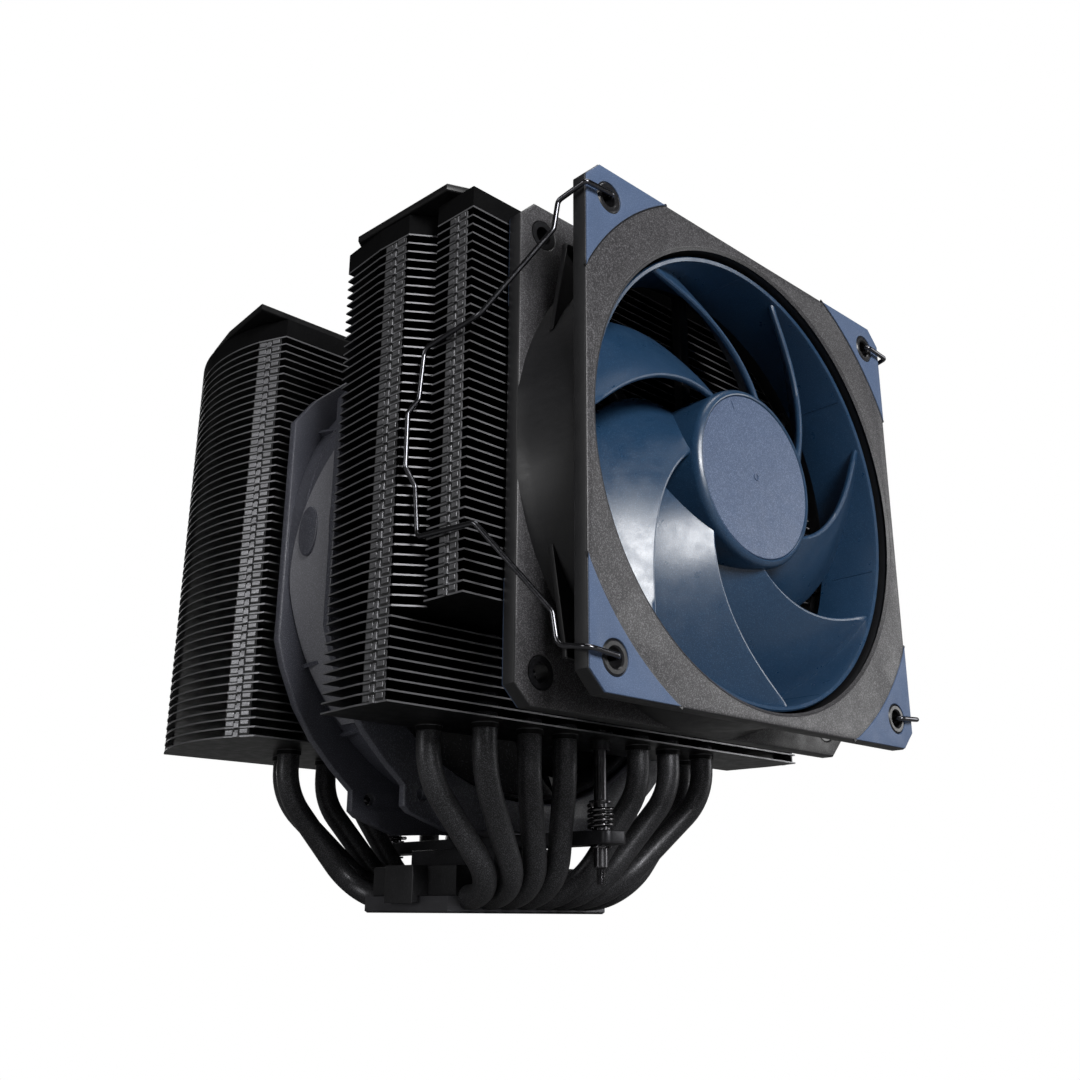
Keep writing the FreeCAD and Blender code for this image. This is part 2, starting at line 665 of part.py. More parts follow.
def blade(reach):
    """One swept blade out to a radius, centred on the Y axis, its root inside the hub.

    The leading edge runs forward as it goes out; the blade falls away behind it, front to back.
    """
    root = size("hub_radius") - 0.9
    rows = 7
    stations = 7
    thickness = size("blade_thickness")
    front = size("rotor_front") + 0.8
    back = size("rotor_back") - thickness - 0.6
    leading = []
    for row in range(rows):
        share = row / (rows - 1)
        radius = root + share * (reach - root)
        sweep = 52 * (1 - (1 - share) ** 1.25)
        chord = 58 - 24 * share
        line = []
        for station in range(stations):
            along = station / (stations - 1)
            angle = math.radians(size("blade_phase") + sweep - chord * along)
            dip = math.sin(math.pi * along) * (0.9 - 0.4 * share)
            depth = front + (back - front) * (along ** 0.92) - dip
            line.append(Vector(radius * math.cos(angle), depth, radius * math.sin(angle)))
        leading.append(line)
    surface = Part.BSplineSurface()
    surface.interpolate(leading)
    lower = surface.toShape()
    lifted = Part.BSplineSurface()
    shifted = [[point + Vector(0, thickness, 0) for point in line] for line in leading]
    lifted.interpolate(shifted)
    upper = lifted.toShape()
    skins = [lower, upper]
    for one, other in zip(lower.OuterWire.Edges, upper.OuterWire.Edges):
        skins.append(Part.makeRuledSurface(one, other))
    shell = Part.makeShell(skins)
    shell.sewShape()
    solid = Part.makeSolid(shell)
    return solid if solid.Volume > 0 else solid.reversed()


def impeller(name, opening):
    """Hub cup, seven swept blades and the ring that joins their tips, as one moulding."""
    along = Vector(0, 1, 0)
    outer = opening - size("tip_gap")
    inner = outer - size("ring_wall")
    front, back = size("rotor_front"), size("rotor_back")
    hub = size("hub_radius")
    wall = size("hub_wall")
    cup = Part.makeCylinder(hub, back - size("hub_front"), Vector(0, size("hub_front"), 0), along)
    rim = [edge for edge in cup.Edges if edge.BoundBox.YMax < size("hub_front") + 0.01]
    cup = cup.makeChamfer(1.2, rim)
    hollow = Part.makeCylinder(hub - wall, back, Vector(0, size("hub_front") + wall, 0), along)
    boss = Part.makeCylinder(3.6, 4, Vector(0, size("hub_front"), 0), along)
    bore = Part.makeCylinder(size("shaft_radius"), 3, Vector(0, size("hub_front") + 2.2, 0), along)
    ring = Part.makeCylinder(outer, back - front, Vector(0, front, 0), along)
    ring = ring.cut(Part.makeCylinder(inner, back - front, Vector(0, front, 0), along))
    one_blade = blade(inner + size("ring_wall") / 2)
    count = int(size("blade_count"))
    blades = []
    for number in range(count):
        copy = one_blade.copy()
        copy.rotate(Vector(0, 0, 0), along, number * 360 / count)
        blades.append(copy)
    moulding = cup.fuse(blades + [ring]).cut(hollow).fuse(boss).cut(bore)
    return solid_feature(moulding, f"{name}_impeller")


def motor(name, where):
    """Bearing bush, wound stator, circuit board, shaft and rotor magnet of one fan."""
    floor = size("fan_depth") - size("strut_depth")
    along = Vector(0, 1, 0)
    front = size("hub_front") + size("hub_wall")
    bush_front = front + 4.4
    bush = Part.makeCylinder(size("bush_radius"), size("fan_depth") - 0.6 - bush_front,
                             Vector(0, bush_front, 0), along)
    bore = Part.makeCylinder(size("shaft_radius") + size("shaft_running"), 40, Vector(0, 0, 0), along)
    parts = {f"{name}_fan_bearing": bush.cut(bore)}

    core_front, core_back = bush_front + 1.5, floor - 3
    core = Part.makeCylinder(size("stator_radius"), core_back - core_front,
                             Vector(0, core_front, 0), along)
    slots = []
    for number in range(4):
        slot = Part.makeBox(9, 30, 5, Vector(6.5, 0, -2.5))
        slot.rotate(Vector(0, 0, 0), along, 45 + number * 90)
        slots.append(slot)
    core = core.cut(slots).cut(Part.makeCylinder(size("bush_radius"), 40, Vector(0, 0, 0), along))
    parts[f"{name}_fan_stator"] = core

    board = Part.makeCylinder(size("stator_radius") + 2, size("board_thickness"),
                              Vector(0, floor - size("board_thickness") - 0.6, 0), along)
    board = board.cut(Part.makeCylinder(size("bush_radius"), 40, Vector(0, 0, 0), along))
    parts[f"{name}_fan_board"] = board

    shaft = Part.makeCylinder(size("shaft_radius"), size("fan_depth") - 1.5 - size("hub_front") - 2.2,
                              Vector(0, size("hub_front") + 2.2, 0), along)
    parts[f"{name}_shaft"] = shaft

    magnet_outer = size("hub_radius") - size("hub_wall")
    magnet_span = size("rotor_back") - front - 1.5
    magnet = Part.makeCylinder(magnet_outer, magnet_span, Vector(0, front + 0.5, 0), along)
    magnet = magnet.cut(Part.makeCylinder(magnet_outer - size("rotor_magnet_wall"), 40,
                                          Vector(0, 0, 0), along))
    parts[f"{name}_rotor_magnet"] = magnet
    for label, shape in parts.items():
        piece = solid_feature(shape, label)
        place(piece, depth=where[0], height=where[1])


def corner_pad(face_y, thickness):
    """Rubber pad of the top right corner, with a hollow inner edge that follows the opening."""
    half = size("fan_half")
    leg = size("pad_leg")
    chamfer = size("fan_chamfer")
    inner = half - leg
    hollow = size("fan_opening") + 3.6
    wedge = Part.makePolygon([Vector(inner, face_y, half), Vector(half - chamfer, face_y, half),
                              Vector(half, face_y, half - chamfer), Vector(half, face_y, inner),
                              Vector(inner, face_y, half)])
    pad_solid = Part.Face(wedge).extrude(Vector(0, thickness, 0))
    notch = Part.makeCylinder(hollow, 60, Vector(0, -30, 0), Vector(0, 1, 0))
    hole = Part.makeCylinder(size("grommet_outer") + size("pad_gap"), 60,
                             Vector(size("fan_hole_at"), -30, size("fan_hole_at")), Vector(0, 1, 0))
    return pad_solid.cut([notch, hole])


def corner_copies(shape):
    copies = []
    for quarter in range(4):
        copy = shape.copy()
        copy.rotate(Vector(0, 0, 0), Vector(0, 1, 0), 90 * quarter)
        copies.append(copy)
    return copies


def fan_trim():
    """Rubber corner pads on both faces of the front fan, and the grommets in its holes."""
    depth = size("fan_depth")
    proud = size("pad_proud")
    pads = corner_copies(corner_pad(-proud, proud)) + corner_copies(corner_pad(depth, proud))
    pieces = {"front_fan_pads": Part.makeCompound(pads)}
    hole_at = size("fan_hole_at")
    sleeve = Part.makeCylinder(size("grommet_outer"), depth + 2 * proud,
                               Vector(hole_at, -proud, hole_at), Vector(0, 1, 0))
    waist = Part.makeCylinder(20, depth - 2 * size("fan_flange"),
                              Vector(hole_at, size("fan_flange"), hole_at), Vector(0, 1, 0))
    bore = Part.makeCylinder(size("fan_hole"), 60, Vector(hole_at, -30, hole_at), Vector(0, 1, 0))
    rings = sleeve.cut([waist, bore])
    solids = [solid for quarter in corner_copies(rings) for solid in quarter.Solids]
    pieces["front_fan_grommets"] = Part.makeCompound(solids)
    for label, shape in pieces.items():
        piece = solid_feature(shape, label)
        place(piece, depth="fan_front", height="fan_height")


# ---------------------------------------------------------------- wire clips

def front_clips():
    """Spring wires from the front fan's holes round to the groove in the front tower's sides."""
    hole = size("fan_hole_at")
    edge = size("fan_half") + 1.3
    front = size("fan_front")
    height = size("fan_height")
    side = size("clip_side")
    groove = -size("clip_groove_y")
    upper = [(hole, front + 3.5, hole), (hole, front - 1.6, hole), (edge, front - 1.6, hole - 0.6),
             (edge + 0.6, front + 6.5, hole - 2), (edge + 1.0, front + 7.5, hole - 9),
             (side, front + 20.8, hole - 28.5), (side, groove - 1.5, hole - 29.8), (side, groove, hole - 42),
             (side + 2.6, groove + 0.4, hole - 46)]
    bends = [0.9, 0.9, 1.2, 1.8, 2.5, 2.0, 1.6, 1.8, 1.8]
    for name, sign in (("left", -1), ("right", 1)):
        top = [Vector(sign * x, y, height + z) for x, y, z in upper]
        bottom = [Vector(sign * x, y, height - z) for x, y, z in reversed(upper)]
        route = top + bottom
        radii = bends[:-1] + [1.8, 1.8] + bends[:-1][::-1]
        path = rounded_path(route, radii[:len(route) - 2])
        solid_feature(tube_along(path, size("wire_radius")), f"front_clip_{name}")


def middle_clips():
    """Spring wires from the middle fan's ears into the notches in the rear tower's front edge."""
    top = size("ear_hole_z")
    height = size("mid_height")
    back = size("mid_front") + size("fan_depth")
    inside = size("rear_front") + size("notch_depth") / 2
    for name, sign in (("left", -1), ("right", 1)):
        x = sign * size("notch_x")
        upper = [(back - 2, top), (back + 3.2, top), (back + 3.2, top - 22), (inside, top - 30)]
        route = [Vector(x, y, height + z) for y, z in upper]
        route += [Vector(x, y, height - z) for y, z in reversed(upper)]
        path = rounded_path(route, [1.5, 2.5, 3, 3, 2.5, 1.5])
        solid_feature(tube_along(path, size("wire_radius")), f"middle_clip_{name}")


def build():
    cold_plate()
    base_cover()
    crossbar()
    heat_pipes()
    front_fins()
    rear_fins()
    covers()
    cover_magnets()
    mounting_screws()
    front_fan_frame()
    middle_fan_frame()
    fan_places = {"front": ("fan_front", "fan_height"), "middle": ("mid_front", "mid_height")}
    openings = {"front": size("fan_opening"), "middle": size("mid_opening")}
    for name, where in fan_places.items():
        rotor = impeller(name, openings[name])
        place(rotor, depth=where[0], height=where[1])
        motor(name, where)
    fan_trim()
    front_clips()
    middle_clips()


def check_and_write():
    doc.recompute()
    for item in doc.Objects:
        assert "Invalid" not in item.State and "Error" not in item.State, f"{item.Label} failed"
    for piece in subparts:
        assert not piece.Shape.isNull(), f"{piece.Label} is empty"
        assert piece.Shape.isValid(), f"{piece.Label} is not valid"
    os.makedirs("parts", exist_ok=True)
    for piece in subparts:
        piece.Shape.exportStep(f"parts/{piece.Label}.step")
        print(f"{piece.Label}: {len(piece.Shape.Solids)} solids, {piece.Shape.Volume:.1f} mm3")


build()
check_and_write()
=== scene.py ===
"""Looks of a dual-tower processor cooler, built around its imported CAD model.

The world is in metres: origin at the centre of the base's contact face, +Z up, the front fan faces -Y.
Shapes below are in millimetres, and are scaled once, in piece().
"""
import math

import bmesh
import bpy
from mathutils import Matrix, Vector


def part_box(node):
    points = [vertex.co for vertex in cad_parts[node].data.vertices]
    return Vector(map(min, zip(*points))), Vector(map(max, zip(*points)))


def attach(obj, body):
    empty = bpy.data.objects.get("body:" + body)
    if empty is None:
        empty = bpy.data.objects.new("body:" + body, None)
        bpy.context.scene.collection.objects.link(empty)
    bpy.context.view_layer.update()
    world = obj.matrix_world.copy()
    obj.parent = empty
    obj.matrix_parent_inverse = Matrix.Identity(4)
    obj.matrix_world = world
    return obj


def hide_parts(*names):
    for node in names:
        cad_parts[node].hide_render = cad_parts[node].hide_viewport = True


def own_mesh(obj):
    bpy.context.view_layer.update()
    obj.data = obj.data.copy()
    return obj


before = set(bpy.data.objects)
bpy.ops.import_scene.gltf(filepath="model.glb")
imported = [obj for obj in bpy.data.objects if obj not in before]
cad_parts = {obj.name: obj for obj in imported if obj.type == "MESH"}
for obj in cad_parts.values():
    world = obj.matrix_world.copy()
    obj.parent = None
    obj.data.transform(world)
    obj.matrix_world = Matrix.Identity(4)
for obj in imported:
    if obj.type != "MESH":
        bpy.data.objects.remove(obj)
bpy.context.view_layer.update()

MM = 0.001
scene = bpy.context.scene


# ---------------------------------------------------------------- where the CAD parts are, in mm

def node_box(node):
    low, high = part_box(node)
    return low / MM, high / MM


def fan_place(frame_node, round_node):
    """A fan's front plane and the height of its axis."""
    low, high = node_box(round_node)
    return node_box(frame_node)[0].y, (low.z + high.z) / 2


# front fan: half width, corner chamfer, hole position, flange and air opening
FAN_Y, FAN_Z = fan_place("front_fan_frame", "front_fan_frame")
HALF, CORNER, HOLE_AT = 60.0, 4.5, 52.5
FLANGE, FRONT_OPENING, FRONT_ROTOR_OPENING = 4.0, 57.4, 57.2
PAD_LEG = 27.5
# middle fan: its axis is the impeller's, because its frame reaches lower than it is high
MID_Y, MID_Z = fan_place("middle_fan_frame", "middle_impeller")
MID_OPENING, MID_BARREL = 64.6, 66.6
# both fans
FAN_DEPTH = 25.0
STRUTS = BLADES = 7
FAN, MID = (0.0, FAN_Y, FAN_Z), (0.0, MID_Y, MID_Z)
# fins, crossbar and screws
FIN_BASE, FIN_PITCH = 42.4, 2.3
BAR_BOTTOM, BAR_TOP = 16.5, node_box("crossbar")[1].z
BLOCK_BOTTOM, BLOCK_TOP = 4.1, 11.7
SCREW_Y, SPRING_LENGTH = 43.0, 6.8


# ---------------------------------------------------------------- materials

def display(red, green, blue):
    """Linear colour for display values from 0 to 255."""
    def channel(value):
        value = value / 255
        return value / 12.92 if value <= 0.04045 else ((value + 0.055) / 1.055) ** 2.4
    return (channel(red), channel(green), channel(blue), 1.0)


def add_node(tree, kind, settings=None, **inputs):
    node = tree.nodes.new(kind)
    for name, value in (settings or {}).items():
        setattr(node, name, value)
    for name, value in inputs.items():
        node.inputs[name.replace("_", " ")].default_value = value
    return node


def noise(tree, where, scale, detail=2.0):
    node = add_node(tree, "ShaderNodeTexNoise", Scale=scale, Detail=detail, Roughness=0.6)
    tree.links.new(where, node.inputs["Vector"])
    return node.outputs["Fac"]


def remap(tree, value, low, high, new_low, new_high):
    node = add_node(tree, "ShaderNodeMapRange", From_Min=low, From_Max=high,
                    To_Min=new_low, To_Max=new_high)
    tree.links.new(value, node.inputs["Value"])
    return node.outputs["Result"]


def blend_colours(tree, share, first, second):
    """Colour between two colours or sockets, by share."""
    node = add_node(tree, "ShaderNodeMix", {"data_type": "RGBA"})
    tree.links.new(share, node.inputs[0])
    for socket, colour in ((node.inputs[6], first), (node.inputs[7], second)):
        if isinstance(colour, bpy.types.NodeSocket):
            tree.links.new(colour, socket)
        else:
            socket.default_value = colour
    return node.outputs[2]


def facing(tree, places, axis):
    """How far a face looks along an axis, from 0 to 1."""
    split = add_node(tree, "ShaderNodeSeparateXYZ")
    tree.links.new(places.outputs["Normal"], split.inputs[0])
    amount = add_node(tree, "ShaderNodeMath", {"operation": "ABSOLUTE"})
    tree.links.new(split.outputs[axis], amount.inputs[0])
    return amount.outputs[0]


def finish(name, colour, specks=None, rough=0.45, metallic=0.0, speck_scale=2600.0, speck_from=0.55,
           tone=0.08, grain_scale=1800.0, grain=0.12, rough_spread=0.06, specular=0.5, stretch=None,
           rim_highlight_colour=None, dark_below=None, flank_shade_colour=None):
    """A moulded, coated or metal surface: specks, slow tone changes, uneven gloss and a fine grain.

    Thin sheets get a painted highlight on their rims, in the rim colour given, above the height
    dark_below, in metres. Mouldings get painted shade, in the flank colour given, on the faces that
    look sideways.
    """
    material = bpy.data.materials.new(name)
    material.use_nodes = True
    tree = material.node_tree
    shader = tree.nodes["Principled BSDF"]
    shader.inputs["Metallic"].default_value = metallic
    shader.inputs["Specular IOR Level"].default_value = specular
    places = add_node(tree, "ShaderNodeTexCoord")
    where = places.outputs["Object"]
    if stretch:
        mapping = add_node(tree, "ShaderNodeMapping")
        mapping.inputs["Scale"].default_value = stretch
        tree.links.new(where, mapping.inputs["Vector"])
        where = mapping.outputs["Vector"]

    painted = colour
    # painted highlight: faces that look sideways, the rims of thin sheets, take a lighter colour above
    # a height
    if rim_highlight_colour:
        flat = remap(tree, facing(tree, places, "Z"), 0.4, 0.7, 0.0, 1.0)
        painted = blend_colours(tree, flat, rim_highlight_colour, colour)
        height = add_node(tree, "ShaderNodeSeparateXYZ")
        tree.links.new(places.outputs["Object"], height.inputs[0])
        above = remap(tree, height.outputs["Z"], dark_below, dark_below + 0.0001, 0.0, 1.0)
        painted = blend_colours(tree, above, colour, painted)
    # painted shade: faces that look sideways take a darker copy of the colour and of the specks
    if flank_shade_colour:
        ahead = remap(tree, facing(tree, places, "Y"), 0.6, 0.9, 0.0, 1.0)
        flank_shade_specks = tuple(1.5 * part for part in flank_shade_colour[:3]) + (1.0,)
        painted = blend_colours(tree, ahead, flank_shade_colour, colour)
        specks = blend_colours(tree, ahead, flank_shade_specks, specks)
    if specks is not None:
        spots = remap(tree, noise(tree, where, speck_scale), speck_from, speck_from + 0.12, 0.0, 1.0)
        painted = blend_colours(tree, spots, painted, specks)

    shade = add_node(tree, "ShaderNodeHueSaturation")
    if isinstance(painted, bpy.types.NodeSocket):
        tree.links.new(painted, shade.inputs["Color"])
    else:
        shade.inputs["Color"].default_value = painted
    tree.links.new(remap(tree, noise(tree, where, 45.0, 4.0), 0.3, 0.7, 1 - tone, 1 + tone),
                   shade.inputs["Value"])
    tree.links.new(shade.outputs["Color"], shader.inputs["Base Color"])
    tree.links.new(remap(tree, noise(tree, where, 260.0, 3.0), 0.3, 0.7,
                         rough - rough_spread, rough + rough_spread), shader.inputs["Roughness"])
    bump = add_node(tree, "ShaderNodeBump", Strength=grain, Distance=0.00004)
    tree.links.new(noise(tree, where, grain_scale, 3.0), bump.inputs["Height"])
    tree.links.new(bump.outputs["Normal"], shader.inputs["Normal"])
    return material


BRUSHED = (1.0, 1.0, 14.0)
M = {
    # fin rims are painted lighter than the black faces: a painted highlight for the sheen on their
    # edges
    "fins": finish("fin_black_aluminium", display(20, 20, 21), rough=0.4, metallic=0.6, tone=0.15,
                   grain=0.08, rim_highlight_colour=display(118, 118, 121), dark_below=0.0422),
    # fold tabs take the fins' lighter rim colour instead of their near-black: a painted highlight
    "locks": finish("fin_tab_aluminium_painted_highlight", display(118, 118, 121), display(160, 160, 163), rough=0.4,
                    metallic=0.85, speck_scale=1500.0, tone=0.22, stretch=BRUSHED),
    # dark sheets behind the fold tabs: painted shadow in the gaps between them
    "lock_gap_shadows": finish("fin_tab_gap_shadow", display(8, 8, 9), display(16, 16, 17), rough=0.6),
    "pipes": finish("pipe_black_nickel", display(60, 60, 62), display(104, 104, 108), rough=0.4,
                    metallic=0.6, speck_scale=4200.0, speck_from=0.5, grain=0.5, grain_scale=3200.0),
    "cover": finish("cover_black_coating", display(9, 9, 10), display(16, 16, 18), rough=0.4,
                    specular=0.35, grain=0.15),
    "skirt": finish("cover_frame_plastic", display(4, 4, 5), display(7, 7, 8), rough=0.8,
                    specular=0.1),
    # the frame's sideways faces take the darker flank colour: painted shade, the same plastic as the
    # front
    "frame": finish("fan_frame_plastic", display(48, 47, 49), display(100, 99, 102), rough=0.46,
                    speck_scale=4200.0, speck_from=0.5, grain=0.35, grain_scale=3600.0, tone=0.05,
                    flank_shade_colour=display(26, 26, 28)),
    # a darker copy of the frame plastic for the barrel, webs and struts: painted shade on the fan's
    # sides
    "frame_side_shade": finish("fan_frame_side_plastic_painted_shade", display(24, 24, 26), display(40, 40, 43), rough=0.4,
                         grain=0.25, stretch=BRUSHED, tone=0.15),
    "pad": finish("pad_blue_rubber", display(70, 88, 118), display(92, 110, 140), rough=0.58,
                  speck_scale=4600.0, speck_from=0.52, grain=0.25, grain_scale=3600.0, tone=0.04),
    "grommet": finish("grommet_black_rubber", display(24, 24, 26), display(44, 44, 48), rough=0.34),
    "blue": finish("rotor_blue_plastic", display(28, 56, 84), display(52, 82, 112), rough=0.33,
                   speck_scale=4200.0, speck_from=0.54, grain=0.4, grain_scale=3800.0, tone=0.05,
                   specular=0.8),
    "hub": finish("hub_face_blue_plastic", display(64, 80, 108), display(100, 115, 142), rough=0.46,
                  speck_scale=4400.0, speck_from=0.5, grain=0.5, grain_scale=3800.0, tone=0.04),
    "slate": finish("middle_frame_plastic", display(66, 67, 76), display(112, 114, 124), rough=0.42,
                    speck_scale=4200.0, speck_from=0.53, grain=0.3, grain_scale=3600.0),
    "flare": finish("middle_flare_plastic", display(118, 118, 124), display(150, 151, 158), rough=0.42,
                    speck_scale=4200.0, speck_from=0.5, grain=0.3, grain_scale=3600.0),
    "dark_rotor": finish("middle_rotor_plastic", display(16, 17, 22), display(92, 94, 104), rough=0.46,
                         speck_scale=2600.0, speck_from=0.58, grain=0.4),
    "wire": finish("clip_black_steel", display(92, 92, 96), rough=0.22, metallic=1.0, grain=0.05,
                   stretch=(1.0, 1.0, 6.0)),
    "screw": finish("screw_dark_steel", display(96, 95, 98), display(120, 119, 122), rough=0.26,
                    metallic=1.0, grain=0.1, stretch=(1.0, 1.0, 0.2), tone=0.1),
    "spring": finish("spring_steel", display(128, 126, 128), rough=0.22, metallic=1.0, grain=0.05),
    "plate": finish("base_plate_nickel", display(96, 96, 100), display(112, 112, 116), rough=0.34,
                    metallic=0.8, grain=0.15, stretch=(0.15, 1.0, 8.0), tone=0.1),
    "block": finish("base_cover_aluminium", display(52, 52, 54), display(66, 66, 69), rough=0.42,
                    metallic=0.6, grain=0.25),
    "bar": finish("crossbar_steel", display(50, 50, 53), display(66, 66, 70), rough=0.4,
                  metallic=0.7, grain=0.15),
    "magnet": finish("nickel_magnet", display(170, 168, 164), rough=0.22, metallic=1.0, grain=0.05),
    "stator": finish("stator_laminations", display(120, 112, 104), display(150, 92, 52), rough=0.4,
                     metallic=0.8, stretch=(1.0, 16.0, 1.0), speck_scale=800.0),
    "board": finish("circuit_board_green", display(22, 62, 40), display(48, 92, 60), rough=0.4,
                    speck_scale=900.0, specular=0.5),
    "bearing": finish("bearing_bronze", display(168, 132, 84), display(190, 154, 104), rough=0.35,
                      metallic=1.0),
    "shaft": finish("shaft_polished_steel", display(190, 190, 194), rough=0.16, metallic=1.0,
                    grain=0.03, stretch=(1.0, 12.0, 1.0)),
}


def paint_cad(material, *nodes):
    for node in nodes:
        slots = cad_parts[node].data.materials
        slots.clear()
        slots.append(material)


paint_cad(M["fins"], "front_fins", "rear_fins")
paint_cad(M["pipes"], *[f"heat_pipe_{number}" for number in range(1, 9)])
paint_cad(M["skirt"], "front_cover_frame", "rear_cover_frame")
paint_cad(M["magnet"], "front_cover_magnets", "rear_cover_magnets", "front_rotor_magnet",
          "middle_rotor_magnet")
paint_cad(M["stator"], "front_fan_stator", "middle_fan_stator")
paint_cad(M["board"], "front_fan_board", "middle_fan_board")
paint_cad(M["bearing"], "front_fan_bearing", "middle_fan_bearing")
paint_cad(M["shaft"], "front_shaft", "middle_shaft")
paint_cad(M["wire"], "front_clip_left", "front_clip_right", "middle_clip_left", "middle_clip_right")
paint_cad(M["bar"], "screw_bushings")
paint_cad(M["plate"], "cold_plate")


# ---------------------------------------------------------------- shapes, as (points in mm, faces)

def join(*shapes):
    points, faces = [], []
    for shape_points, shape_faces in shapes:
        start = len(points)
        points += shape_points
        faces += [[index + start for index in face] for face in shape_faces]
    return points, faces


def moved(shape, change):
    return [change(point) for point in shape[0]], shape[1]


def lifted(shape, centre):
    """A shape drawn about a fan's own axis, at the fan."""
    return moved(shape, lambda p: (p[0] + centre[0], p[1], p[2] + centre[2]))


def turn_y(shape, degrees, centre):
    """Turn about the fan axis, the line along Y through centre."""
    c, s = math.cos(math.radians(degrees)), math.sin(math.radians(degrees))

    def change(point):
        x, z = point[0] - centre[0], point[2] - centre[2]
        return (centre[0] + c * x - s * z, point[1], centre[2] + s * x + c * z)
    return moved(shape, change)


def mirror_x(shape):
    return [(-x, y, z) for x, y, z in shape[0]], [face[::-1] for face in shape[1]]


def skin(rows, close_rows=False, close_ends=True):
    """Faces between rows of equally many points; each row is a closed loop."""
    points = [point for row in rows for point in row]
    width, count = len(rows[0]), len(rows)
    faces = []
    for row in range(count if close_rows else count - 1):
        following = (row + 1) % count
        for column in range(width):
            beside = (column + 1) % width
            faces.append([row * width + column, row * width + beside,
                          following * width + beside, following * width + column])
    if close_ends and not close_rows:
        faces.append(list(range(width)))
        faces.append([(count - 1) * width + column for column in range(width)])
    return points, faces


def lathe(profile, centre, axis="y", segments=128):
    """A closed profile of (radius, distance along) turned about a line through centre."""
    rows = []
    for step in range(segments):
        angle = 2 * math.pi * step / segments
        c, s = math.cos(angle), math.sin(angle)
        if axis == "y":
            rows.append([(centre[0] + radius * c, centre[1] + along, centre[2] + radius * s)
                         for radius, along in profile])
        else:
            rows.append([(centre[0] + radius * c, centre[1] + radius * s, centre[2] + along)
                         for radius, along in profile])
    return skin(rows, close_rows=True)


def circle(radius, centre=(0, 0), count=128, start=0.0, end=360.0):
    """Points of a circle or an arc, for a plate's outline."""
    closed = abs(end - start - 360) < 1e-9
    steps = count if closed else count - 1
    return [(centre[0] + radius * math.cos(math.radians(start + (end - start) * n / steps)),
             centre[1] + radius * math.sin(math.radians(start + (end - start) * n / steps)))
            for n in range(count)]


def plate(loops, low, high, edge=0.3, facing="y"):
    """A flat plate with holes and rounded edges; loops are outlines in its own plane."""
    curve = bpy.data.curves.new("outline", "CURVE")
    curve.dimensions = "2D"
    curve.fill_mode = "BOTH"
    curve.bevel_depth = edge
    curve.bevel_resolution = 2
    curve.offset = -edge
    curve.extrude = (high - low) / 2 - edge
    for loop in loops:
        spline = curve.splines.new("POLY")
        spline.points.add(len(loop) - 1)
        for point, (u, v) in zip(spline.points, loop):
            point.co = (u, v, 0, 1)
        spline.use_cyclic_u = True
    holder = bpy.data.objects.new("outline", curve)
    mesh = bpy.data.meshes.new_from_object(holder)
    middle = (low + high) / 2
    if facing == "y":
        points = [(v.co.x, middle - v.co.z, v.co.y) for v in mesh.vertices]
    elif facing == "x":
        points = [(middle + v.co.z, v.co.x, v.co.y) for v in mesh.vertices]
    else:
        points = [(v.co.x, v.co.y, middle + v.co.z) for v in mesh.vertices]
    faces = [list(polygon.vertices) for polygon in mesh.polygons]
    bpy.data.objects.remove(holder)
    bpy.data.curves.remove(curve)
    bpy.data.meshes.remove(mesh)
    return points, faces


def block(low, high, edge=0.3):
    """A box with rounded upright edges and rims."""
    return plate([[(low[0], low[1]), (high[0], low[1]), (high[0], high[1]), (low[0], high[1])]],
                 low[2], high[2], edge, "z")


def tube(points, radius, sides=20):
    """A round bar along points that follow each other closely."""
    path = [Vector(point) for point in points]
    rows = []
    side = None
    for number, point in enumerate(path):
        before = path[max(number - 1, 0)]
        after = path[min(number + 1, len(path) - 1)]
        ahead = (after - before).normalized()
        if side is None:
            side = ahead.orthogonal().normalized()
        side = (side - ahead * side.dot(ahead)).normalized()
        other = ahead.cross(side)
        rows.append([tuple(point + radius * (side * math.cos(2 * math.pi * n / sides)
                                             + other * math.sin(2 * math.pi * n / sides)))
                     for n in range(sides)])
    return skin(rows)


def piece(name, shape, body, material, replaces=(), sharp=35, edge=0.0):
    """A finished object of a shape: welded, outward faces, smooth where it is round, on its body."""
    mesh = bpy.data.meshes.new(name)
    mesh.from_pydata([(x * MM, y * MM, z * MM) for x, y, z in shape[0]], [], shape[1])
    work = bmesh.new()
    work.from_mesh(mesh)
    bmesh.ops.remove_doubles(work, verts=work.verts, dist=2e-6)
    bmesh.ops.dissolve_degenerate(work, edges=work.edges, dist=1e-6)
    bmesh.ops.recalc_face_normals(work, faces=work.faces)
    work.to_mesh(mesh)
    work.free()
    mesh.shade_smooth()
    mesh.set_sharp_from_angle(angle=math.radians(sharp))
    mesh.materials.append(material)
    made = bpy.data.objects.new(name, mesh)
    scene.collection.objects.link(made)
    if edge:
        bevel = made.modifiers.new("edges", "BEVEL")
        bevel.width = edge * MM
        bevel.segments = 2
        bevel.limit_method = "ANGLE"
        bevel.angle_limit = math.radians(35)
        bevel.harden_normals = True
    if replaces:
        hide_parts(*replaces)
    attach(made, body)
    return made


# ---------------------------------------------------------------- front fan

def quarters(shape, centre):
    return join(*[turn_y(shape, 90 * number, centre) for number in range(4)])


def motor_seat(centre, opening):
    """Struts and the round plate that carries the motor."""
    back = centre[1] + FAN_DEPTH
    strut = plate([[(-1.6, 12), (1.6, 12), (1.9, opening + 0.5), (-1.9, opening + 0.5)]],
                  back - 3, back - 0.05, 0.6)
    strut = lifted(strut, centre)
    arms = [turn_y(strut, 360 / STRUTS * number, centre) for number in range(STRUTS)]
    disc = lathe([(0, FAN_DEPTH - 3), (20.9, FAN_DEPTH - 3), (21.5, FAN_DEPTH - 2.4),
                  (21.5, FAN_DEPTH - 0.6), (20.9, FAN_DEPTH), (0, FAN_DEPTH)], centre, segments=96)
    return join(disc, *arms)


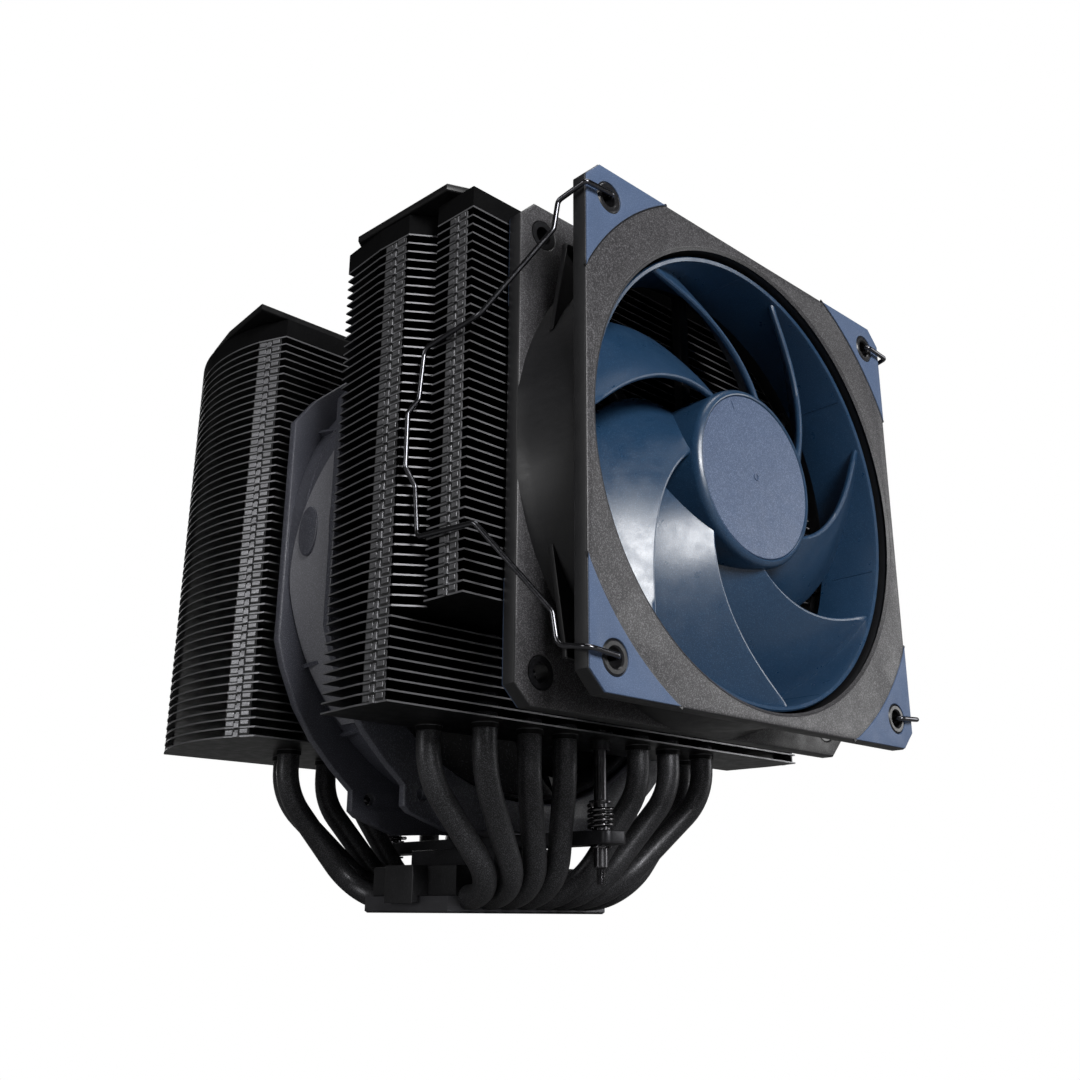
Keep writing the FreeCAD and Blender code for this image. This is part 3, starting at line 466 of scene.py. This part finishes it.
def corner_webs():
    """Thin plates in the hollow behind each corner, one along each side."""
    upright = [(53.9, 25.5), (49.5, 49.8), (46.5, 49.8), (40.5, 42.5), (50.0, 30.5)]
    level = [(25.5, 53.9), (49.8, 49.5), (49.8, 46.5), (42.5, 40.5), (30.5, 50.0)]
    webs = []
    for side in (-1, 1):
        for end in (-1, 1):
            for web in (upright, level):
                web = [(side * u, end * v) for u, v in web]
                webs.append(lifted(plate([web], FAN_Y + 16.2, FAN_Y + 17.8, 0.3), FAN))
    return webs


def front_fan_frame():
    edge = HALF - CORNER
    outline = [(-edge, -HALF), (edge, -HALF), (HALF, -edge), (HALF, edge),
               (edge, HALF), (-edge, HALF), (-HALF, edge), (-HALF, -edge)]
    holes = [circle(3.6, (x * HOLE_AT, z * HOLE_AT), 40) for x in (-1, 1) for z in (-1, 1)]
    loops = [outline, circle(FRONT_OPENING, count=200)] + holes
    flanges = [lifted(plate(loops, FAN_Y + near, FAN_Y + near + FLANGE, 0.5), FAN)
               for near in (0, FAN_DEPTH - FLANGE)]
    wall = [(FRONT_OPENING, 3.5), (59.4, 3.5), (59.4, 17.8), (60.9, 21.2), (FRONT_OPENING, 21.2)]
    barrel = lathe(wall, FAN, segments=200)
    barrel = moved(barrel, lambda p: (max(-HALF, min(HALF, p[0])), p[1],
                                      max(FAN_Z - HALF, min(FAN_Z + HALF, p[2]))))
    inner_lip = lathe([(56.9, 0.5), (57.5, 0.1), (57.9, 0.6), (57.5, 1.6)], FAN, segments=200)
    piece("front_frame_shell", join(*flanges, inner_lip), "front_fan", M["frame"],
          ["front_fan_frame"])
    # the barrel, webs and motor seat take the darker copy of the frame plastic, painted shade
    piece("front_frame_barrel", join(barrel, *corner_webs(), motor_seat(FAN, FRONT_OPENING)),
          "front_fan", M["frame_side_shade"])


def corner_pads():
    """Rubber pads on both faces, a dark strip round the front ones as painted shadow of the groove they
    sit in, and the rings in the holes.
    """
    inner = HALF - PAD_LEG
    reach = math.hypot(inner, HALF)
    first = math.degrees(math.atan2(inner, HALF))
    arc = circle(reach, count=24, start=first, end=90 - first)
    outline = [(inner, HALF), (HALF - CORNER, HALF), (HALF, HALF - CORNER), (HALF, inner)] + arc[1:-1]
    inset = [(u - 0.25 if u == HALF else u, v - 0.25 if v == HALF else v) for u, v in outline]
    hole = circle(3.85, (HOLE_AT, HOLE_AT), 48)
    for name, low, high in (("front", -0.3, 0.35), ("back", FAN_DEPTH - 0.35, FAN_DEPTH + 0.3)):
        pad = lifted(plate([inset, hole], FAN_Y + low, FAN_Y + high, 0.22), FAN)
        replaced = ["front_fan_pads"] if name == "front" else []
        piece(f"corner_pads_{name}", quarters(pad, FAN), "front_fan", M["pad"], replaced)
    # a thin near-black strip along the pads' curved edge: painted shadow of the groove round them
    pad_shadow_line_ends = {"count": 24, "start": first - 0.25, "end": 90.25 - first}
    pad_shadow_line = plate([circle(reach - 0.35, **pad_shadow_line_ends) + circle(reach + 0.3, **pad_shadow_line_ends)[::-1]],
                 FAN_Y - 0.05, FAN_Y + 0.2, 0.02)
    pad_shadow_line = lifted(pad_shadow_line, FAN)
    piece("corner_pad_shadow_lines", quarters(pad_shadow_line, FAN), "front_fan", M["grommet"])
    where = (HOLE_AT, FAN_Y, FAN_Z + HOLE_AT)
    ring = [(2.2, 0.1), (2.5, -0.3), (3.3, -0.3), (3.7, 0.0), (3.7, 1.0), (3.55, 3.9), (2.2, 3.9)]
    rings = join(lathe(ring, where, segments=48),
                 lathe([(radius, FAN_DEPTH - along) for radius, along in ring], where, segments=48))
    piece("grommet_rings", quarters(rings, FAN), "front_fan", M["grommet"],
          ["front_fan_grommets"])


# ---------------------------------------------------------------- impellers

BLADE_PHASE = 23.6      # degrees, the first blade's root
BLADE_SWEEP = 52        # degrees, how far a blade leans forward from root to tip
ROOT_CHORD, TIP_CHORD = 58, 34
HUB_RADIUS = 22.3
TIP_GAP, RING_WALL = 1.0, 1.3
ROTOR_FRONT, ROTOR_BACK = 2.4, 19.6


def blade(centre, root, reach, front, back):
    """A swept blade with a thick rounded leading edge and a thin trailing one."""
    stations, around = 26, 22

    def camber(share, along):
        radius = root + share * (reach - root)
        sweep = BLADE_SWEEP * (1 - (1 - share) ** 1.25)
        chord = ROOT_CHORD - (ROOT_CHORD - TIP_CHORD) * share
        angle = math.radians(BLADE_PHASE + sweep - chord * along)
        dip = math.sin(math.pi * along) * (0.9 - 0.4 * share)
        return radius, radius * angle, front + (back - front) * along ** 0.92 - dip + 0.65

    rows = []
    for station in range(stations):
        share = station / (stations - 1)
        upper, lower = [], []
        for step in range(around):
            along = 0.5 - 0.5 * math.cos(math.pi * step / (around - 1))
            radius, arc, depth = camber(share, along)
            _, arc_before, depth_before = camber(share, max(along - 0.01, 0.0))
            _, arc_after, depth_after = camber(share, min(along + 0.01, 1.0))
            run, rise = arc_after - arc_before, depth_after - depth_before
            length = math.hypot(run, rise)
            nose = math.sqrt(max(0.0, 1 - (1 - min(along / 0.035, 1.0)) ** 2))
            tail = math.sqrt(max(0.0, 1 - (1 - min((1 - along) / 0.02, 1.0)) ** 2))
            half = (0.95 - 0.55 * along) * nose * tail
            out = (-rise / length * half, run / length * half)
            for side, line in ((1, upper), (-1, lower)):
                angle = (arc + side * out[0]) / radius
                line.append((centre[0] + radius * math.cos(angle), centre[1] + depth + side * out[1],
                             centre[2] + radius * math.sin(angle)))
        rows.append(upper + lower[-2:0:-1])
    return skin(rows)


def impeller(name, centre, opening, body, material, face_material):
    outer = opening - TIP_GAP
    inner = outer - RING_WALL
    front, back = ROTOR_FRONT, ROTOR_BACK
    one = blade(centre, HUB_RADIUS - 0.7, inner + 0.5, 3.2, 17.7)
    blades = [turn_y(one, 360 / BLADES * number, centre) for number in range(BLADES)]
    ring = lathe([(inner, front + 0.9), (inner + 0.2, front + 0.3), (outer - 0.35, front),
                  (outer, front + 0.35), (outer, back - 0.3), (outer - 0.4, back), (inner, back)],
                 centre, segments=220)
    seams = []
    for number in range(BLADES):
        angle = math.radians(90 + 360 / BLADES * number)
        x = centre[0] + (inner + 0.02) * math.cos(angle)
        z = centre[2] + (inner + 0.02) * math.sin(angle)
        seams.append(tube([(x, centre[1] + depth, z) for depth in (3.6, 8.0, 12.0, 16.0)], 0.14, 8))
    cup = lathe([(0, 1.9), (20.3, 1.9), (20.6, 1.35), (20.9, 1.25), (21.6, 1.6), (22.1, 2.3),
                 (HUB_RADIUS, 3.4), (HUB_RADIUS, 19.6), (20.7, 19.6), (20.7, 3.4), (3.6, 3.4),
                 (3.6, 5.0), (1.5, 5.0), (1.5, 3.5), (0, 3.5)], centre, segments=128)
    piece(f"{name}_blades", join(ring, cup, *blades, *seams), body, material,
          [f"{name}_impeller"])
    mark = [(-0.25, 17.2), (0.25, 17.2), (0.25, 19.4), (-0.25, 19.4)]
    dash = lifted(plate([mark], centre[1] + 1.3, centre[1] + 1.75, 0.08), centre)
    dot = lathe([(0.55, 1.3), (0.95, 1.25), (1.05, 1.5), (0.55, 1.5)], centre, segments=32)
    disc = lathe([(0, 1.45), (20.15, 1.45), (20.3, 1.6), (20.3, 2.2), (0, 2.2)], centre, segments=128)
    piece(f"{name}_hub_face", join(disc, dot, turn_y(dash, 26, centre)), body, face_material)


# ---------------------------------------------------------------- middle fan

def middle_outline():
    """Half of the frame's outline, from its foot up the left side, and its mirror image."""
    lower = [(-13, -72.3), (-28, -73.3), (-40.5, -69.3), (-42.5, -67.8), (-42.5, -62.8), (-48.6, -57.6),
             (-55.2, -51), (-60.8, -43.2), (-65.4, -33.4), (-67.5, -26.5)]
    upper = [(-67.5, 33.5), (-61.6, 41.6), (-50.7, 51.6), (-42.5, 57.8), (-42.5, 67.8), (-40.5, 69.3),
             (-28, 72.3), (-13, 72.3)]
    left = lower + upper
    return left + [(-x, z) for x, z in reversed(left)]


def middle_gussets():
    """Thin webs between the flanges, two near each ear."""
    gussets = []
    for side in (-1, 1):
        for end in (-1, 1):
            for across, depth in ((60.5, 33.0), (47.5, 49.5)):
                reach = math.hypot(across, depth)
                c, s = side * across / reach, end * depth / reach
                web = [(66.0, 2.3), (reach - 0.6, 2.3), (66.9, 9.0), (66.9, 16.0), (reach - 0.6, 22.7),
                       (66.0, 22.7)]
                rows = [[(r * c + push * -s, MID_Y + y, MID_Z + r * s + push * c) for r, y in web]
                        for push in (-0.5, 0.5)]
                gussets.append(skin(rows))
    return gussets


def middle_flares():
    """A raised flare on each side of the barrel, cut off by a curve towards its top."""
    flares = []
    low, high = 66.2, 67.1
    for side in (-1, 1):
        rows = []
        for step in range(41):
            angle = math.radians(-44 + 72 * step / 40)
            share = step / 40
            near = 21.9 - 17.5 * max(0.0, share - 0.45) ** 1.3 / 0.55 ** 1.3 - 6 * max(0.0, 0.2 - share)
            c, s = side * math.cos(angle), math.sin(angle)
            rows.append([(MID[0] + r * c, MID_Y + y, MID_Z + r * s)
                         for r, y in ((low, 3.2), (high, 3.2), (high, near), (low, near))])
        flares.append(skin(rows))
    return flares


def middle_fan_frame():
    ear_holes = [circle(1.6, (x * 37, z * 64.6), 32) for x in (-1, 1) for z in (-1, 1)]
    loops = [middle_outline(), circle(MID_OPENING, count=220)] + ear_holes
    flanges = [lifted(plate(loops, MID_Y + low, MID_Y + low + 2.5, 0.4), MID) for low in (0, 22.5)]
    wall = [(MID_OPENING, 2.2), (MID_BARREL, 2.2), (MID_BARREL, 8.0), (66.9, 8.3), (66.9, 9.0),
            (MID_BARREL, 9.3), (MID_BARREL, 15.7), (66.9, 16.0), (66.9, 16.7), (MID_BARREL, 17.0),
            (MID_BARREL, 22.8), (MID_OPENING, 22.8)]
    barrel = lathe(wall, MID, segments=220)
    oval = [(v * 0.62, u) for u, v in circle(6.6, (0, 0), 48)]
    emboss = plate([[(MID_Y + 12.5 + u, MID_Z + v) for u, v in oval]], 66.0, 67.5, 0.2, "x")
    piece("middle_frame_flares", join(*middle_flares()), "middle_fan", M["flare"],
          edge=0.15)
    piece("middle_frame_shell", join(*flanges, barrel, *middle_gussets(), mirror_x(emboss), emboss,
                                     motor_seat(MID, MID_OPENING)),
          "middle_fan", M["slate"], ["middle_fan_frame"])


# ---------------------------------------------------------------- fin locks

def tab_box(start, along, out, spans):
    """A box on a line: spans along the line, outwards and in height."""
    corners = []
    for height in spans[2]:
        for a, b in ((0, 0), (1, 0), (1, 1), (0, 1)):
            x = start[0] + along[0] * spans[0][a] + out[0] * spans[1][b]
            y = start[1] + along[1] * spans[0][a] + out[1] * spans[1][b]
            corners.append((x, y, height))
    return corners, [[0, 1, 2, 3], [4, 5, 6, 7], [0, 1, 5, 4], [1, 2, 6, 5], [2, 3, 7, 6], [3, 0, 4, 7]]


def lock_strip(start, end, first, count):
    """Folded tabs up a tower's side, where each fin hooks into the next, and dark sheets behind them as
    painted shadow in the gaps.
    """
    length = math.dist(start, end)
    along = ((end[0] - start[0]) / length, (end[1] - start[1]) / length)
    out = (along[1], -along[0])
    if out[0] * start[0] < 0:
        out = (-out[0], -out[1])
    tabs, gap_shadows = [], []

    def add(into, near, far, proud, low, high):
        spans = ((near * length, far * length), (-0.3, proud), (low, high))
        into.append(tab_box(start, along, out, spans))

    for level in range(first, first + count):
        foot = FIN_BASE + FIN_PITCH * level
        # a near-black sheet along the whole strip, just proud of the fins: painted shadow behind the
        # tabs
        add(gap_shadows, 0.0, 1.0, 0.06, foot + 0.42, foot + 2.28)
        add(tabs, 0.04, 0.36, 0.16, foot + 0.95, foot + 2.05)
        add(tabs, 0.4, 0.6, 0.5, foot + 0.0, foot + 1.35)
        add(tabs, 0.43, 0.57, 0.25, foot + 1.35, foot + 1.8)
        add(tabs, 0.66, 0.96, 0.18, foot + 0.6, foot + 1.85)
    return join(*tabs), join(*gap_shadows)


# a strip's two ends on the left side, its lowest fin and how many fins it joins
LOCK_STRIPS = {
    "front": (((-70.302, -69.25), (-70.584, -63.63), 9, 40),
              ((-73.888, -50.645), (-74.424, -43.61), 0, 49)),
    "rear": (((-67.96, 15.54), (-70.924, 22.326), 0, 49),
             ((-67.7, 57.7), (-66.8, 63.7), 0, 49)),
}


def fin_locks():
    for tower, strips in LOCK_STRIPS.items():
        tabs, gap_shadows = zip(*[lock_strip(*strip) for strip in strips])
        tabs, gap_shadows = join(*tabs), join(*gap_shadows)
        piece(f"{tower}_fin_locks", join(tabs, mirror_x(tabs)), "cooler", M["locks"], edge=0.1)
        piece(f"{tower}_fin_lock_gap_shadows", join(gap_shadows, mirror_x(gap_shadows)), "cooler", M["lock_gap_shadows"])


# ---------------------------------------------------------------- covers and base

def top_covers():
    front_left = [(-20, -63.5), (-22, -68.5), (-66.45, -68.5), (-73.45, -65.5), (-75.45, -32.5),
                  (-66.45, -25.0)]
    rear_left = [(-75.45, 14.5), (-73.85, 35.8), (-70.95, 50.1), (-63.45, 68.1)]
    for name, left in (("front", front_left), ("rear", rear_left)):
        low, high = node_box(f"{name}_cover")
        outline = left + [(-x, y) for x, y in reversed(left)]
        cover = plate([outline], low.z, high.z, 0.45, "z")
        piece(f"{name}_cover_panel", cover, f"{name}_cover_plate", M["cover"],
              [f"{name}_cover"])


def base_parts():
    """Block over the pipes with a lug down each side, and the bar that the screws press on."""
    low, high = node_box("base_cover")
    main = block((-25.5, low.y, BLOCK_BOTTOM), (25.5, high.y, high.z), 0.35)
    lugs = []
    for side in (-1, 1):
        profile = [(side * 12, BLOCK_BOTTOM), (side * 28.3, BLOCK_BOTTOM), (side * 28.3, 2.4),
                   (side * 30.3, 2.4), (side * 30.3, BLOCK_TOP), (side * 12, BLOCK_TOP)]
        lugs.append(plate([profile], -6, 6, 0.3))
    piece("base_block", join(main, *lugs), "cooler", M["block"], ["base_cover"])

    half, end, turn = 4.0, 49.0, 2.2
    outline = []
    for x, y, start in ((half - turn, end - turn, 0), (turn - half, end - turn, 90),
                        (turn - half, turn - end, 180), (half - turn, turn - end, 270)):
        outline += circle(turn, (x, y), 10, start, start + 90)
    holes = [circle(1.85, (0, side * SCREW_Y), 40) for side in (-1, 1)]
    bar = plate([outline] + holes, BAR_BOTTOM, BAR_TOP, 0.35, "z")
    foot = block((-13, -17.5, BLOCK_TOP - 0.1), (13, 17.5, BAR_BOTTOM), 0.3)
    piece("clamp_bar", join(bar, foot), "cooler", M["bar"], ["crossbar"])


# ---------------------------------------------------------------- mounting screws

def thread(radius, low, high, pitch, centre):
    """A helical thread on a short pin with a tapered tip."""
    steps = int((high - low) / pitch * 8)
    rows = []
    for step in range(steps + 1):
        height = low + (high - low) * step / steps
        row = []
        for side in range(24):
            turn = side / 24
            phase = (height / pitch - turn) % 1.0
            reach = radius - 0.26 * abs(2 * phase - 1)
            if height < low + 0.5:
                reach = min(reach, radius - 0.45 + (height - low))
            angle = 2 * math.pi * turn
            row.append((centre[0] + reach * math.cos(angle), centre[1] + reach * math.sin(angle),
                        height))
        rows.append(row)
    return skin(rows)


def screw_profile(boss_low, top):
    """Radius and height from the boss over the thread up to the head and its hexagon's depth."""
    seat = BAR_TOP + SPRING_LENGTH
    return [(0, boss_low - 0.2), (1.5, boss_low - 0.2), (1.8, boss_low + 0.15), (1.8, 15.6),
            (1.35, 15.65), (1.35, 16.25), (1.8, 16.3), (1.8, seat), (2.75, seat), (2.9, seat + 0.15),
            (2.9, seat + 0.45), (2.75, seat + 0.6), (1.6, seat + 0.6), (1.6, top - 4), (2.6, top - 4),
            (2.8, top - 3.8), (2.8, top - 0.3), (2.5, top), (1.44, top), (1.44, top - 2.5),
            (0, top - 2.5)]


def coil(y, turns=4.5, wire=0.5, radius=2.95, steps=32):
    """A spring's wire between the bar and the screw's seat."""
    start, rise = BAR_TOP + wire + 0.05, SPRING_LENGTH - 2 * wire - 0.1
    path = []
    for n in range(int(steps * turns) + 1):
        angle = 2 * math.pi * n / steps
        path.append((radius * math.cos(angle), y + radius * math.sin(angle),
                     start + rise * n / (steps * turns)))
    return tube(path, wire, 12)


def mounting_screws():
    tip, boss_low = 6.7, 11.0
    top = node_box("front_screw")[1].z
    for name, y in (("front", -SCREW_Y), ("rear", SCREW_Y)):
        centre = (0.0, y, 0.0)
        shaft = lathe(screw_profile(boss_low, top), centre, "z", 48)
        tail = thread(1.25, tip, boss_low, 0.5, centre)
        piece(f"{name}_screw_shaft", join(shaft, tail), f"{name}_bolt", M["screw"],
              [f"{name}_screw"])
        low, high = node_box(f"{name}_retaining_ring")
        clip = circle(2.6, (0, y), 40, -62, 242) + circle(1.38, (0, y), 40, -50, 230)[::-1]
        piece(f"{name}_ring_clip", plate([clip], low.z, high.z, 0.08, "z"), f"{name}_ring",
              M["spring"], [f"{name}_retaining_ring"])
        spring = piece(f"{name}_coil_spring", coil(y), "cooler", M["spring"],
                       [f"{name}_spring"])
        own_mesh(spring)


# ---------------------------------------------------------------- floor, light and camera

def mix_shaders(tree, share, first, second):
    mix = add_node(tree, "ShaderNodeMixShader")
    tree.links.new(share, mix.inputs[0])
    tree.links.new(first, mix.inputs[1])
    tree.links.new(second, mix.inputs[2])
    return mix.outputs[0]


def pale_floor():
    """White where the camera sees it, dim for the light that bounces, and clear from below."""
    bpy.ops.mesh.primitive_plane_add(size=6, location=(0, 0, -0.0002))
    floor = bpy.context.object
    floor.name = "floor"
    material = bpy.data.materials.new("pale_floor")
    material.use_nodes = True
    tree = material.node_tree
    matte = tree.nodes["Principled BSDF"]
    matte.inputs["Base Color"].default_value = (0.22, 0.22, 0.22, 1)
    matte.inputs["Roughness"].default_value = 0.9
    pale = add_node(tree, "ShaderNodeEmission", Color=(1, 1, 1, 1), Strength=1.0)
    clear = add_node(tree, "ShaderNodeBsdfTransparent")
    path = add_node(tree, "ShaderNodeLightPath")
    side = add_node(tree, "ShaderNodeNewGeometry")
    seen = mix_shaders(tree, path.outputs["Is Camera Ray"], matte.outputs[0], pale.outputs[0])
    both = mix_shaders(tree, side.outputs["Backfacing"], seen, clear.outputs[0])
    tree.links.new(both, tree.nodes["Material Output"].inputs["Surface"])
    floor.data.materials.append(material)


def white_background():
    """White to the camera, a faint fill for everything else."""
    world = bpy.data.worlds.new("studio")
    scene.world = world
    world.use_nodes = True
    tree = world.node_tree
    soft = tree.nodes["Background"]
    soft.inputs["Color"].default_value = (1, 1, 1, 1)
    soft.inputs["Strength"].default_value = 0.05
    seen = add_node(tree, "ShaderNodeBackground", Color=(1, 1, 1, 1), Strength=1.0)
    path = add_node(tree, "ShaderNodeLightPath")
    both = mix_shaders(tree, path.outputs["Is Camera Ray"], soft.outputs[0], seen.outputs[0])
    tree.links.new(both, tree.nodes["World Output"].inputs["Surface"])


def soft_lamps():
    aim = Vector((0, -0.02, 0.085))
    for name, place, size, power in (("key", (-0.30, -0.95, 0.42), 0.35, 10.0),
                                     ("left", (-0.95, 0.10, 0.25), 0.35, 1.6),
                                     ("right", (0.85, -0.6, 0.25), 0.4, 2.0),
                                     ("top", (0.05, -0.1, 0.95), 0.4, 2.5),
                                     ("back", (0.3, 0.95, 0.35), 0.5, 2.0)):
        lamp = bpy.data.lights.new(name, "AREA")
        lamp.size = size
        lamp.energy = power
        holder = bpy.data.objects.new(name, lamp)
        holder.location = place
        holder.rotation_euler = (aim - Vector(place)).to_track_quat("-Z", "Y").to_euler()
        scene.collection.objects.link(holder)


def photo_camera():
    """The camera that fits the photo's view, from low on the front left."""
    camera = bpy.data.cameras.new("camera")
    camera.lens = 38.563
    camera.sensor_width = 36.0
    camera.clip_start = 0.01
    holder = bpy.data.objects.new("camera", camera)
    holder.location = (-0.216448, -0.250039, -0.0000447)
    holder.rotation_euler = [math.radians(angle) for angle in (107.91634, -0.35962, -43.38189)]
    scene.collection.objects.link(holder)
    scene.camera = holder
    scene.view_settings.view_transform = "Standard"


front_fan_frame()
corner_pads()
impeller("front", FAN, FRONT_ROTOR_OPENING, "front_rotor", M["blue"], M["hub"])
impeller("middle", MID, MID_OPENING, "middle_rotor", M["dark_rotor"], M["dark_rotor"])
middle_fan_frame()
fin_locks()
top_covers()
base_parts()
mounting_screws()
pale_floor()
white_background()
soft_lamps()
photo_camera()
